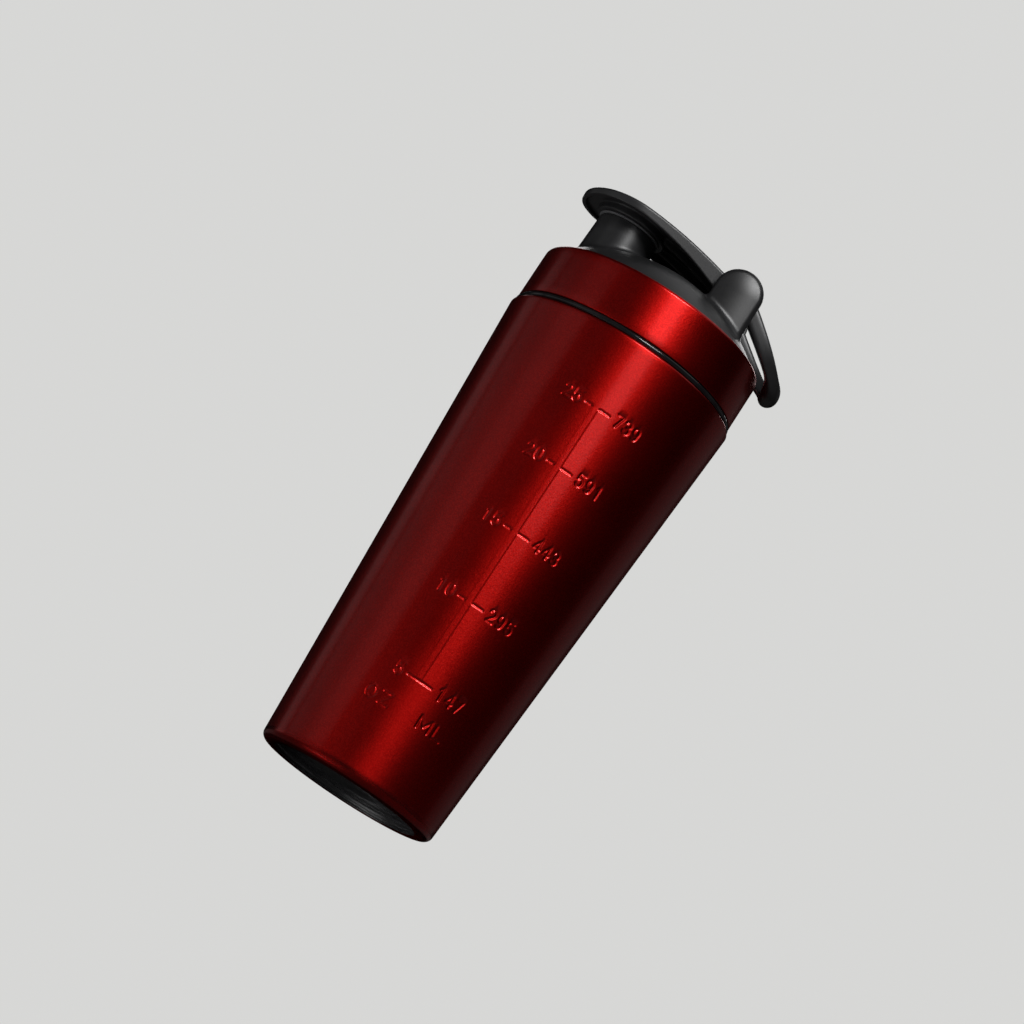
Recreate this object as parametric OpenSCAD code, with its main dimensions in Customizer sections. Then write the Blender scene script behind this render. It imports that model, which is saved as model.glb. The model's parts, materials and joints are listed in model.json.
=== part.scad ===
// Steel protein shaker bottle: a tapered cup with a threaded collar, a domed screw lid in a steel
// band, a flip cap and a carry loop that share one hinge pin, and a loose wire mixing ball.
// Millimetres. +Z is up, the origin is the centre of the foot, the spout is towards -X and the
// hinge and carry loop are towards +X.

/* [Cup] */
// Outer diameter of the cup where its wall meets the bottom edge
cup_base_d = 69.6; // [66:0.2:72]
// Outer diameter of the cup at its shoulder
cup_shoulder_d = 91.4; // [91:0.1:92]
// Height of the shoulder, the shelf that carries the lid
shoulder_h = 180; // [165:1:195]
// Thickness of the steel wall
wall_t = 0.6; // [0.5:0.1:0.7]
// Radius of the rounded bottom edge
base_edge_r = 3.2; // [2.6:0.1:3.6]
// Height of the recessed bottom above the foot
base_recess = 2.6; // [2:0.1:3]

/* [Thread] */
// Axial travel of the lid in one full turn
thread_lead = 12; // [11:0.5:13]
// Number of thread ridges that start around the neck
thread_starts = 2; // [2:1:2]
// Radial height of a thread ridge
thread_depth = 1.1; // [0.9:0.1:1.2]
// Angle that each thread ridge covers
thread_span = 204; // [150:6:210]

/* [Lid] */
// Outer diameter of the steel band around the lid
band_d = 89.3; // [89.2:0.05:89.4]
// Height of the steel band
band_h = 20.1; // [19.8:0.1:20.4]
// Radius of the dome's sphere
dome_r = 62.6; // [62:0.2:63.4]
// Thickness of the dome
dome_t = 1.8; // [1.5:0.1:2.2]

/* [Spout] */
// Outer diameter of the spout
spout_d = 25; // [24:0.5:26]
// Distance of the spout's centre from the bottle's axis
spout_offset = 24.3; // [24:0.1:24.6]
// Height of the spout's rim above the shoulder
spout_rise = 45.6; // [45.4:0.1:45.8]
// Thickness of the spout's wall
spout_t = 2.3; // [2:0.1:2.5]

/* [Hinge] */
// Distance of the hinge pin from the bottle's axis
hinge_x = 21.9; // [21.7:0.1:22.1]
// Height of the hinge pin above the shoulder
hinge_rise = 41.9; // [41.7:0.1:42.1]
// Radius of the ears' round tops
ear_r = 9; // [8.5:0.1:9.2]
// Distance of each ear's outer face from the middle plane
ear_outer_y = 23.2; // [23:0.1:23.6]
// Diameter of the hinge pin
pin_d = 3; // [2.6:0.2:3.2]

/* [Flip cap] */
// Radius of the cap's round end over the spout
cap_end_r = 21; // [20.4:0.1:21.2]
// Half width of the cap at the hinge
cap_hinge_half_w = 14.8; // [14.4:0.1:14.9]
// Height of the cap's top above the shoulder, over the spout
cap_top_rise = 51.5; // [51.3:0.1:51.8]

/* [Carry loop] */
// Angle below the horizontal at which the loop hangs
loop_hang = 38.5; // [38:0.5:39]
// Distance from the hinge pin to the middle of the grip
loop_reach = 35; // [34.9:0.1:35.4]
// Half width of the loop between the middles of its arms
loop_half_w = 17.2; // [17.1:0.1:17.3]
// Radius of the thick grip at the loop's end
grip_r = 3.5; // [3.2:0.1:3.6]

/* [Mixing ball] */
// Diameter of the wire ball, to the middle of its wire
ball_d = 50; // [44:1:52]
// Diameter of the ball's wire
wire_d = 2.2; // [1.8:0.2:2.4]
// Number of turns from pole to pole
ball_turns = 8; // [6:1:9]

/* [Hidden] */
$fn = 96;
// sides of the large spheres and arcs
dome_sides = 192;
arch_sides = 240;
// overlap of shapes that join, and the reach of shapes that cut all the way
eps = 0.01;
over = 1;
far = 200;
// gap between fixed pieces that rest on each other
seat_gap = 0.05;

// cup outline
base_r = cup_base_d / 2;
shoulder_r = cup_shoulder_d / 2;
edge_x = base_r - base_edge_r;
shoulder_edge_r = 0.9;
side_lean = atan((shoulder_r - base_r) / (shoulder_h - base_edge_r));
foot_lip = 2.4;
foot_in_r = edge_x - foot_lip;
pan_r = foot_in_r - 0.2;

// neck and collar
neck_r = 38.8;
neck_top = shoulder_h + 14;
lip_roll_r = 0.85;
collar_r = 40.5;
collar_top = shoulder_h + 13;
ring_h = 2.25;
ring_r = 45;
ring_in_r = collar_r + 0.1;

// lid skirt and thread
band_t = 0.6;
band_r = band_d / 2;
band_bottom = shoulder_h + 2.5;
band_top = band_bottom + band_h;
band_lip_r = 1.65;
skirt_out_r = band_r - band_t - seat_gap;
skirt_in_r = 41.9;
skirt_bottom = band_bottom + 0.1;
ridge_root_w = 2.4;
ridge_crest_w = 1;
ridge_embed = 0.3;
ridge_step = 6;
ridge_fade = 12;
ridge_z0 = shoulder_h + 4.6;
// the lid's ridges lie under the neck's and start further round, clear of the shoulder ring
ridge_drop = 1.8;
ridge_turn = 45;
lid_ridge_z0 = ridge_z0 - ridge_drop + thread_lead * ridge_turn / 360;

// lid top
seat_z = shoulder_h + 17;
seal_bottom = neck_top + lip_roll_r + seat_gap;
seal_in_r = 37.2;
seal_out_r = 41.4;
rib_out_r = 36.8;
rib_in_r = 35.2;
rib_bottom = shoulder_h + 12.6;
dome_rim_r = band_r - band_lip_r - 0.1;
dome_sink = 0.25;
dome_z = band_top - dome_sink - sqrt(dome_r * dome_r - dome_rim_r * dome_rim_r);
lip_z = band_top - band_lip_r;
lip_in_r = band_lip_r - band_t - seat_gap;

// spout and hinge
spout_r = spout_d / 2;
spout_bore_r = spout_r - spout_t;
spout_top = shoulder_h + spout_rise;
spout_root = seat_z + 4;
hinge_z = shoulder_h + hinge_rise;
pin_r = pin_d / 2;
running = 0.06;
ear_inner_y = 19.6;
ear_edge_r = 1.6;
ear_foot = hinge_z - seat_z - 3;
pin_blind_y = ear_outer_y - 1.4;

// flip cap
cap_top_z = shoulder_h + cap_top_rise;
cap_arch_r = 165;
cap_arch_x = -23.5;
cap_under_r = 112;
cap_under_x = -28;
cap_under_z = cap_top_z - 3.3;
cap_skin = 1.8;
cap_wall = 1.7;
barrel_r = 4.3;
cap_floor_z = hinge_z - barrel_r + 0.4;
cap_narrow_x = hinge_x - 8;
// the flanks start just inside the round end, so that they cross it instead of only touching it
flank_sink = 0.03;
cap_embed = 0.5;
rib_y = 6.7;
rib_t = 1.4;
boss_r = 14;
boss_bottom = spout_top + 0.8;
rib_x = boss_r - spout_offset;
plug_r = spout_bore_r - 0.3;
plug_taper = 0.8;
plug_depth = 3.2;
plug_flange_r = 12.4;
plug_flange_t = 0.7;
stud_r = 5;
stud_h = 2.4;

// carry loop
loop_bend = 3.2;
loop_square = 2.4;
arm_half_t = 2;
arm_rise = 2.2;
arm_half_h = 3.1;
arm_tip_rise = 2.7;
arm_tip_half_h = 2;
arm_power = 0.5;
grip_rise = 2;
grip_power = 1;
grip_half_len = 9;
grip_blend = 1.4;
loop_boss_r = 5.8;
loop_step = 5;
loop_probe = 0.5;
loop_sides = 20;

// mixing ball
ball_r = ball_d / 2;
wire_r = wire_d / 2;
ball_z = base_recess + wall_t + ball_r + wire_r + 0.15;
ball_cap_angle = 14;
ball_steps = 20;
ball_probe = 0.001;
wire_sides = 8;

// Outline of the cup's outside, drawn in by inset all round, up to the flat at height top
module cup_outline(inset, top) {
    edge = base_edge_r - inset;
    union() {
        translate([edge_x, base_edge_r])
            circle(r = edge);
        polygon([
            [0, inset],
            [edge_x, inset],
            [edge_x + edge * cos(side_lean), base_edge_r - edge * sin(side_lean)],
            [shoulder_r - inset, top],
            [0, top]
        ]);
    }
}

// Shelf and rounded edge at the cup's shoulder, drawn in by inset
module shoulder_outline(inset) {
    edge = shoulder_edge_r - inset;
    translate([shoulder_r - shoulder_edge_r, shoulder_h - shoulder_edge_r])
        circle(r = edge);
    translate([0, shoulder_h - shoulder_edge_r - eps])
        square([shoulder_r - shoulder_edge_r, shoulder_edge_r - inset + eps]);
}

// Steel cup in one piece: foot lip, rounded edge, side, shoulder shelf, neck and rolled rim
module cup_body() {
    side_top = shoulder_h - shoulder_edge_r;
    color("firebrick")
    rotate_extrude()
    union() {
        difference() {
            union() {
                cup_outline(0, side_top);
                shoulder_outline(0);
                translate([0, side_top])
                    square([neck_r, neck_top - side_top]);
            }
            cup_outline(wall_t, side_top);
            shoulder_outline(wall_t);
            translate([0, side_top])
                square([neck_r - wall_t, neck_top - side_top + eps]);
            translate([0, -eps])
                square([foot_in_r, wall_t + 2 * eps]);
        }
        translate([neck_r - wall_t + lip_roll_r, neck_top])
            circle(r = lip_roll_r);
    }
}

// Stamped bottom pan: a disc above the foot with a turned-down rim welded to the foot's lip
module base_plate() {
    color("dimgray")
    rotate_extrude()
    union() {
        translate([0, base_recess])
            square([pan_r, wall_t]);
        translate([pan_r - wall_t, wall_t])
            square([wall_t, base_recess]);
        translate([pan_r - wall_t, wall_t])
            square([foot_lip, wall_t]);
    }
}

// One helical ridge. The root lies at root_r and the crest at crest_r, inside or outside of it
module thread_ridge(root_r, crest_r, z_start) {
    grow = crest_r > root_r ? 1 : -1;
    base_x = root_r - grow * ridge_embed;
    steps = floor(thread_span / ridge_step);
    rings = [for (i = [0:steps])
        let (a = i * ridge_step,
             fade = max(0.1, min(1, a / ridge_fade, (thread_span - a) / ridge_fade)),
             tip_x = root_r + (crest_r - root_r) * fade,
             z = z_start + thread_lead * a / 360)
        [for (p = [[base_x, -ridge_root_w / 2], [tip_x, -ridge_crest_w / 2],
                   [tip_x, ridge_crest_w / 2], [base_x, ridge_root_w / 2]])
            [p[0] * cos(a), p[0] * sin(a), z + p[1]]]];
    tube(rings, grow > 0);
}

// Closed polyhedron through a list of rings that all have the same number of points
module tube(rings, outward) {
    n = len(rings[0]);
    last = len(rings) - 1;
    points = [for (ring = rings) each ring];
    sides = [for (i = [0:last - 1], j = [0:n - 1])
        let (a = i * n + j, b = i * n + (j + 1) % n)
        [a, b, b + n, a + n]];
    caps = [[for (j = [n - 1:-1:0]) j], [for (j = [0:n - 1]) last * n + j]];
    faces = concat(sides, caps);
    polyhedron(points, outward ? faces : [for (f = faces) [for (k = [len(f) - 1:-1:0]) f[k]]]);
}

// Moulded collar round the neck, with the thread that the lid screws onto
module neck_collar() {
    color([0.08, 0.08, 0.08])
    union() {
        rotate_extrude()
        translate([neck_r + seat_gap, shoulder_h + seat_gap])
            square([collar_r - neck_r - seat_gap, collar_top - shoulder_h - seat_gap]);
        for (s = [0:thread_starts - 1])
            rotate([0, 0, s * 360 / thread_starts])
                thread_ridge(collar_r, collar_r + thread_depth, ridge_z0);
    }
}

// Flat ring on the shoulder, its outer edge a half-round bead
module shoulder_ring() {
    bead_r = ring_h / 2;
    color([0.03, 0.03, 0.03])
    rotate_extrude()
    union() {
        translate([ring_in_r, shoulder_h + seat_gap])
            square([ring_r - bead_r - ring_in_r, ring_h]);
        translate([ring_r - bead_r, shoulder_h + seat_gap + bead_r])
            circle(r = bead_r);
    }
}

// Stadium-shaped hinge ear between y0 and y1, with a rounded edge at y1
module ear(y0, y1) {
    thick = abs(y1 - y0);
    side = y1 > y0 ? 1 : -1;
    translate([hinge_x, y0, hinge_z])
    scale([1, side, 1])
    union() {
        rotate([-90, 0, 0])
        rotate_extrude()
            ear_edge(ear_r, thick);
        translate([0, 0, -ear_foot])
        linear_extrude(ear_foot)
        union() {
            ear_edge(ear_r, thick);
            mirror([1, 0, 0])
                ear_edge(ear_r, thick);
        }
    }
}

// Half section of an ear: a rectangle with its far outer corner rounded
module ear_edge(half_w, thick) {
    square([half_w - ear_edge_r, thick]);
    square([half_w, thick - ear_edge_r]);
    translate([half_w - ear_edge_r, thick - ear_edge_r])
        circle(r = ear_edge_r);
}

// Hollow under the dome
module lid_cavity() {
    rotate_extrude()
    intersection() {
        translate([0, dome_z])
            circle(r = dome_r - dome_t, $fn = dome_sides);
        translate([0, rib_bottom - over])
            square([rib_in_r, far]);
    }
}

// Skirt, dome and seal seat, without the spout, the ears or the hollow
module lid_shell() {
    rotate_extrude()
    difference() {
        union() {
            intersection() {
                translate([0, dome_z])
                    circle(r = dome_r, $fn = dome_sides);
                translate([0, rib_bottom])
                    square([dome_rim_r, far]);
            }
            translate([rib_in_r, skirt_bottom])
                square([skirt_out_r - rib_in_r, lip_z - skirt_bottom]);
            translate([rib_in_r, lip_z - eps])
                square([skirt_out_r - lip_in_r - rib_in_r, lip_in_r + eps]);
            translate([skirt_out_r - lip_in_r, lip_z])
                circle(r = lip_in_r);
        }
        translate([rib_out_r, skirt_bottom - over])
            square([skirt_in_r - rib_out_r, seat_z - skirt_bottom + over]);
        translate([rib_in_r - over, skirt_bottom - over])
            square([rib_out_r - rib_in_r + over, rib_bottom - skirt_bottom + over]);
    }
}

// Drinking spout with a rounded rim, standing off the bottle's axis
module spout_tube() {
    rim_r = spout_t / 2;
    translate([-spout_offset, 0, 0])
    rotate_extrude()
    union() {
        translate([spout_bore_r, spout_root])
            square([spout_t, spout_top - rim_r - spout_root]);
        translate([spout_bore_r + rim_r, spout_top - rim_r])
            circle(r = rim_r);
    }
}

// Moulded lid: skirt with the inner thread, dome, spout and hinge ears in one piece
module lid_body() {
    color([0.1, 0.1, 0.1])
    union() {
        difference() {
            union() {
                lid_shell();
                spout_tube();
                ear(ear_inner_y, ear_outer_y);
                ear(-ear_inner_y, -ear_outer_y);
            }
            lid_cavity();
            translate([-spout_offset, 0, seat_z])
                cylinder(r = spout_bore_r, h = far);
            translate([hinge_x, -pin_blind_y, hinge_z])
            rotate([-90, 0, 0])
                cylinder(r = pin_r, h = far);
        }
        for (s = [0:thread_starts - 1])
            rotate([0, 0, s * 360 / thread_starts + ridge_turn])
                thread_ridge(skirt_in_r, skirt_in_r - thread_depth, lid_ridge_z0);
    }
}

// Steel sleeve pressed over the lid's skirt, its top edge rolled inwards
module lid_band() {
    color("firebrick")
    rotate_extrude()
    union() {
        translate([band_r - band_t, band_bottom])
            square([band_t, lip_z - band_bottom]);
        translate([band_r - band_lip_r, lip_z])
        intersection() {
            difference() {
                circle(r = band_lip_r);
                circle(r = band_lip_r - band_t);
            }
            square(far);
        }
    }
}

// Flat silicone ring under the lid that closes on the cup's rim
module lid_seal() {
    color([0.2, 0.2, 0.2])
    rotate_extrude()
    translate([seal_in_r, seal_bottom])
        square([seal_out_r - seal_in_r, seat_z - seal_bottom]);
}

// Plan outline of the cap, drawn in by inset: a round end over the spout, narrowing to the hinge
module cap_plan(inset) {
    end_r = cap_end_r - inset;
    half_w = cap_hinge_half_w - inset;
    flank_r = end_r - flank_sink;
    lean = asin((flank_r - half_w) / (cap_narrow_x + spout_offset));
    touch_x = flank_r * sin(lean) - spout_offset;
    touch_y = flank_r * cos(lean);
    translate([-spout_offset, 0])
        circle(r = end_r);
    polygon([
        [touch_x, -touch_y],
        [cap_narrow_x, -half_w],
        [hinge_x, -half_w],
        [hinge_x, half_w],
        [cap_narrow_x, half_w],
        [touch_x, touch_y]
    ]);
}

// Arched slab between the cap's top arc, lowered by skin, and its underside arc
module cap_arch(skin, under) {
    rotate([90, 0, 0])
    linear_extrude(far, center = true)
    difference() {
        translate([cap_arch_x, cap_top_z - cap_arch_r])
            circle(r = cap_arch_r - skin, $fn = arch_sides);
        if (under)
            translate([cap_under_x, cap_under_z - cap_under_r])
                circle(r = cap_under_r, $fn = arch_sides);
        translate([-far, -far])
            square([2 * far, far + cap_floor_z]);
    }
}

// Arched cap, hollow underneath, with a boss over the spout, two ribs and the hinge barrel
module flip_cap() {
    color([0.1, 0.1, 0.1])
    difference() {
        union() {
            difference() {
                intersection() {
                    translate([0, 0, seat_z])
                    linear_extrude(far)
                        cap_plan(0);
                    cap_arch(0, true);
                }
                intersection() {
                    translate([0, 0, seat_z])
                    linear_extrude(far)
                        cap_plan(cap_wall);
                    cap_arch(cap_skin, false);
                    translate([-far, -far, 0])
                        cube([far + cap_narrow_x, 2 * far, 2 * far]);
                }
            }
            intersection() {
                translate([-spout_offset, 0, boss_bottom])
                    cylinder(r = boss_r, h = far);
                cap_arch(cap_embed, false);
            }
            for (side = [-1, 1])
                intersection() {
                    translate([rib_x - over, side * rib_y - rib_t / 2, seat_z])
                        cube([cap_narrow_x - rib_x + 2 * over, rib_t, far]);
                    cap_arch(cap_embed, true);
                }
            translate([hinge_x, 0, hinge_z])
            rotate([90, 0, 0])
                cylinder(r = barrel_r, h = 2 * cap_hinge_half_w, center = true);
        }
        translate([hinge_x, 0, hinge_z])
        rotate([90, 0, 0])
            cylinder(r = pin_r + running, h = far, center = true);
        translate([-spout_offset, 0, boss_bottom - eps])
            cylinder(r = stud_r + seat_gap, h = stud_h + seat_gap + eps);
    }
}

// Silicone stopper: a stud up into the cap's boss, a flange over the rim and a tapered plug
module spout_plug() {
    plug_top = boss_bottom - plug_flange_t;
    color([0.25, 0.25, 0.25])
    translate([-spout_offset, 0, 0])
    union() {
        translate([0, 0, plug_top])
            cylinder(r = plug_flange_r, h = plug_flange_t);
        translate([0, 0, boss_bottom])
            cylinder(r = stud_r, h = stud_h);
        translate([0, 0, spout_top - plug_depth])
            cylinder(r1 = plug_r - plug_taper, r2 = plug_r, h = plug_top + eps - spout_top + plug_depth);
    }
}

// Steel pin, blind in the near ear and flush with the far one
module hinge_pin() {
    color("silver")
    translate([hinge_x, -pin_blind_y, hinge_z])
    rotate([-90, 0, 0])
        cylinder(r = pin_r, h = pin_blind_y + ear_outer_y);
}

// Middle line of the loop in its own plane, from one arm to the other as a goes from 0 to 180
function loop_out(a) = loop_reach * pow(max(0, sin(a)), 2 / loop_bend);
function loop_side(a) = -loop_half_w * sign(cos(a)) * pow(abs(cos(a)), 2 / loop_square);
// How far the section has turned into the grip, from 0 on the arms to 1 at the middle
function grip_share(a) =
    let (t = max(0, min(1, grip_blend - abs(loop_side(a)) / grip_half_len))) t * t * (3 - 2 * t);
function blend(a, from, to) = from + (to - from) * grip_share(a);
// Cosine or sine v bent towards a box for powers under 1, a circle at 1
function rounded(v, power) = sign(v) * pow(abs(v), power);

// One section of the loop at position a, in the plane of out, side and rise
function loop_ring(a) =
    let (before = max(0, a - loop_probe),
         after = min(180, a + loop_probe),
         along_out = loop_out(after) - loop_out(before),
         along_side = loop_side(after) - loop_side(before),
         run = norm([along_out, along_side]),
         across = [along_side / run, -along_out / run],
         reach = loop_out(a) / loop_reach,
         half_t = blend(a, arm_half_t, grip_r),
         half_h = blend(a, arm_half_h + (arm_tip_half_h - arm_half_h) * reach * reach, grip_r),
         rise = blend(a, arm_rise + (arm_tip_rise - arm_rise) * reach, grip_rise),
         power = blend(a, arm_power, grip_power))
    [for (j = [0:loop_sides - 1])
        let (b = j * 360 / loop_sides,
             u = half_t * rounded(cos(b), power),
             h = half_h * rounded(sin(b), power))
        [loop_out(a) + across[0] * u, loop_side(a) + across[1] * u, rise + h]];

// U-shaped loop with an eye at the end of each arm and a thicker grip in the middle
module carry_loop() {
    color([0.1, 0.1, 0.1])
    translate([hinge_x, 0, hinge_z])
    rotate([0, loop_hang, 0])
    difference() {
        union() {
            tube([for (a = [0:loop_step:180]) loop_ring(a)], true);
            for (side = [-1, 1])
                translate([0, side * loop_half_w, 0])
                rotate([90, 0, 0])
                    cylinder(r = loop_boss_r, h = 2 * arm_half_t, center = true);
        }
        rotate([90, 0, 0])
            cylinder(r = pin_r + running, h = far, center = true);
    }
}

// Point on the ball's wire, t going from 0 at the top to 1 at the bottom
function wire_point(t) =
    let (lat = ball_cap_angle + t * (180 - 2 * ball_cap_angle),
         turn = t * ball_turns * 360)
    [ball_r * sin(lat) * cos(turn), ball_r * sin(lat) * sin(turn), ball_r * cos(lat)];

function unit(v) = v / norm(v);

// Loose mixing ball: one wire wound from pole to pole
module whisk_ball() {
    steps = ball_turns * ball_steps;
    rings = [for (i = [0:steps])
        let (t = i / steps,
             p = wire_point(t),
             ahead = unit(wire_point(t + ball_probe) - wire_point(t - ball_probe)),
             out = unit(p - ahead * (p * ahead)),
             side = cross(ahead, out))
        [for (j = [0:wire_sides - 1])
            let (b = j * 360 / wire_sides)
            p + wire_r * (out * cos(b) + side * sin(b))]];
    color("silver")
    translate([0, 0, ball_z])
        tube(rings, true);
}

cup_body();
base_plate();
neck_collar();
shoulder_ring();
lid_body();
lid_band();
lid_seal();
flip_cap();
spout_plug();
hinge_pin();
carry_loop();
whisk_ball();
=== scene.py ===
import json
from math import atan2, cos, degrees, pi, radians, sin, sqrt, tan

import bpy
import numpy as np
from mathutils import Matrix, Vector


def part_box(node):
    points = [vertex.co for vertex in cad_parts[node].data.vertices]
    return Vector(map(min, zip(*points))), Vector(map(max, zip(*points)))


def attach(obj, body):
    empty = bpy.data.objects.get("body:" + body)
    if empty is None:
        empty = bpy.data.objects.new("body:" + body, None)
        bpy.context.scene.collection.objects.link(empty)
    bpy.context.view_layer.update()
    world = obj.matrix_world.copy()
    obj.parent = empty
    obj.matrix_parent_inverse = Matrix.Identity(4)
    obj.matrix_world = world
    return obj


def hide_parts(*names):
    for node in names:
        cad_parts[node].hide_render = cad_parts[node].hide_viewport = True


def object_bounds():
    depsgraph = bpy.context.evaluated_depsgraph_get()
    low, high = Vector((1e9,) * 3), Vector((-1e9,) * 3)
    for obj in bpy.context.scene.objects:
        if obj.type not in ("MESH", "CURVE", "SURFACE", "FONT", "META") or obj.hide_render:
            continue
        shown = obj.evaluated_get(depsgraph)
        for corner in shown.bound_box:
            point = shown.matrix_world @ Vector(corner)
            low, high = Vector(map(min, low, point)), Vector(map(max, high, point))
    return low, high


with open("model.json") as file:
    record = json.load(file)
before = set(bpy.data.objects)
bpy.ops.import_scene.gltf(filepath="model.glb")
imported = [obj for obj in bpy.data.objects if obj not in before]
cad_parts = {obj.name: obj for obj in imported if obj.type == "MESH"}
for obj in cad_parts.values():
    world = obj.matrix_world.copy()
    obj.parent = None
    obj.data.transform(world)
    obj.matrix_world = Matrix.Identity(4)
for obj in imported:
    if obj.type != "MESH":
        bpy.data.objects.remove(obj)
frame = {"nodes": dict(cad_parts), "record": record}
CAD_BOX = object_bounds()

MM = 0.001

# Camera: a long lens below the foot's level, rolled so that the bottle leans to the right
CAMERA_DISTANCE = 1.177
CAMERA_HEIGHT = -0.141
CAMERA_TURN = 3.0
CAMERA_YAW = -0.199
CAMERA_PITCH = 12.276
CAMERA_ROLL = 33.2
LENS = 119.53


def add_camera():
    """The photograph's viewing angle. CAMERA_TURN is how far the view is turned from the lid's hinge line."""
    turn, pitch, roll = radians(CAMERA_TURN), radians(CAMERA_PITCH), radians(CAMERA_ROLL)
    heading = radians(CAMERA_YAW - CAMERA_TURN)
    ahead = Vector((sin(heading) * cos(pitch), cos(heading) * cos(pitch), sin(pitch)))
    level = Vector((cos(heading), -sin(heading), 0))
    upright = level.cross(ahead)
    right = level * cos(roll) + upright * sin(roll)
    up = upright * cos(roll) - level * sin(roll)
    camera = bpy.data.objects.new("photo_camera", bpy.data.cameras.new("photo_camera"))
    bpy.context.scene.collection.objects.link(camera)
    camera.data.lens = LENS
    camera.data.sensor_width = 36
    camera.data.clip_start = 0.01
    camera.matrix_world = Matrix((
        (right.x, up.x, -ahead.x, CAMERA_DISTANCE * sin(turn)),
        (right.y, up.y, -ahead.y, -CAMERA_DISTANCE * cos(turn)),
        (right.z, up.z, -ahead.z, CAMERA_HEIGHT),
        (0, 0, 0, 1),
    ))
    bpy.context.scene.camera = camera


add_camera()


# ---------------------------------------------------------------- materials

class Nodes:
    """A material's node tree, with short calls for the nodes used here."""

    def __init__(self, name):
        self.material = bpy.data.materials.new(name)
        self.material.use_nodes = True
        self.tree = self.material.node_tree
        self.shader = self.tree.nodes["Principled BSDF"]
        self.place = self.tree.nodes.new("ShaderNodeTexCoord").outputs["Object"]

    def add(self, kind, **settings):
        node = self.tree.nodes.new(kind)
        for key, value in settings.items():
            setattr(node, key, value)
        return node

    def link(self, source, target):
        self.tree.links.new(source, target)

    def feed(self, node, **values):
        """Sets or links the node's inputs by name, with _ for a space."""
        for key, value in values.items():
            socket = node.inputs[key.replace("_", " ")]
            if isinstance(value, bpy.types.NodeSocket):
                self.link(value, socket)
            else:
                socket.default_value = value
        return node

    def surface(self, **values):
        self.feed(self.shader, **values)

    def stretched(self, x, y, z):
        """Object coordinates with each axis scaled."""
        node = self.add("ShaderNodeMapping")
        self.feed(node, Vector=self.place, Scale=(x, y, z))
        return node.outputs["Vector"]

    def height(self):
        """Height above the foot, in metres."""
        node = self.add("ShaderNodeSeparateXYZ")
        self.feed(node, Vector=self.place)
        return node.outputs["Z"]

    def noise(self, scale, detail=2.0, rough=0.5, place=None):
        """Cloudy noise from 0 to 1, with scale clouds to a metre."""
        node = self.add("ShaderNodeTexNoise")
        self.feed(node, Vector=place or self.place, Scale=scale, Detail=detail, Roughness=rough)
        return node.outputs["Fac"]

    def cells(self, scale):
        """Small cells, scale of them to a metre: each one's own colour, and the distance from its middle."""
        node = self.add("ShaderNodeTexVoronoi", feature="F1")
        self.feed(node, Vector=self.place, Scale=scale)
        return node.outputs

    def range(self, value, low, high, out_low, out_high):
        """Takes low to high, with soft ends, to out_low to out_high."""
        node = self.add("ShaderNodeMapRange", interpolation_type="SMOOTHSTEP")
        self.feed(node, Value=value, From_Min=low, From_Max=high, To_Min=out_low, To_Max=out_high)
        return node.outputs["Result"]

    def mix(self, share, first, second):
        """A colour that goes from first to second as share goes from 0 to 1."""
        node = self.add("ShaderNodeMix", data_type="RGBA")
        self.set_socket(node.inputs["Factor"], share)
        for socket, value in ((node.inputs[6], first), (node.inputs[7], second)):
            self.set_socket(socket, value)
        return node.outputs[2]

    def set_socket(self, socket, value):
        """Links a socket to the input, or sets its value there."""
        if isinstance(value, bpy.types.NodeSocket):
            self.link(value, socket)
        else:
            socket.default_value = (*value, 1) if isinstance(value, tuple) and len(value) == 3 else value

    def math(self, operation, a, b):
        node = self.add("ShaderNodeMath", operation=operation)
        self.set_socket(node.inputs[0], a)
        self.set_socket(node.inputs[1], b)
        return node.outputs[0]

    def blend(self, share, first, second):
        """A shader that goes from first to second as share goes from 0 to 1."""
        node = self.feed(self.add("ShaderNodeMixShader"), Fac=share)
        self.link(first.outputs[0], node.inputs[1])
        self.link(second.outputs[0], node.inputs[2])
        return node

    def bump(self, height, depth, strength=1.0, normal=None):
        """Normal of a surface whose height varies by depth metres."""
        node = self.add("ShaderNodeBump")
        self.feed(node, Height=height, Distance=depth, Strength=strength)
        if normal is not None:
            self.link(normal, node.inputs["Normal"])
        return node.outputs["Normal"]


def red_lacquer():
    """Translucent red lacquer over metal flake under a clear coat, burnished smooth at the cup's foot."""
    n = Nodes("red_lacquer")
    flakes = n.cells(2600)
    cloud = n.noise(45, 3)
    tone = n.mix(n.range(flakes["Color"], 0.2, 0.9, 0.0, 1.0), (0.44, 0.004, 0.003), (0.60, 0.009, 0.006))
    tone = n.mix(n.range(cloud, 0.35, 0.7, 0.0, 0.35), tone, (0.42, 0.004, 0.003))
    grain = n.noise(1500, 2, 0.55)
    satin = n.range(cloud, 0.3, 0.7, 0.39, 0.44)
    foot = n.range(n.height(), 0.0028, 0.0042, 0.6, 1.0)
    n.surface(Base_Color=tone, Metallic=1.0, Roughness=n.math("MULTIPLY", satin, foot), Anisotropic=0.6,
              Anisotropic_Rotation=0.25, Coat_Weight=0.45, Coat_Roughness=0.17, Coat_IOR=1.5)
    n.link(n.bump(flakes["Distance"], 0.00004, 0.4, n.bump(grain, 0.00005, 0.5)), n.shader.inputs["Normal"])
    n.link(n.bump(grain, 0.00003, 0.4), n.shader.inputs["Coat Normal"])
    return n.material


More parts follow.
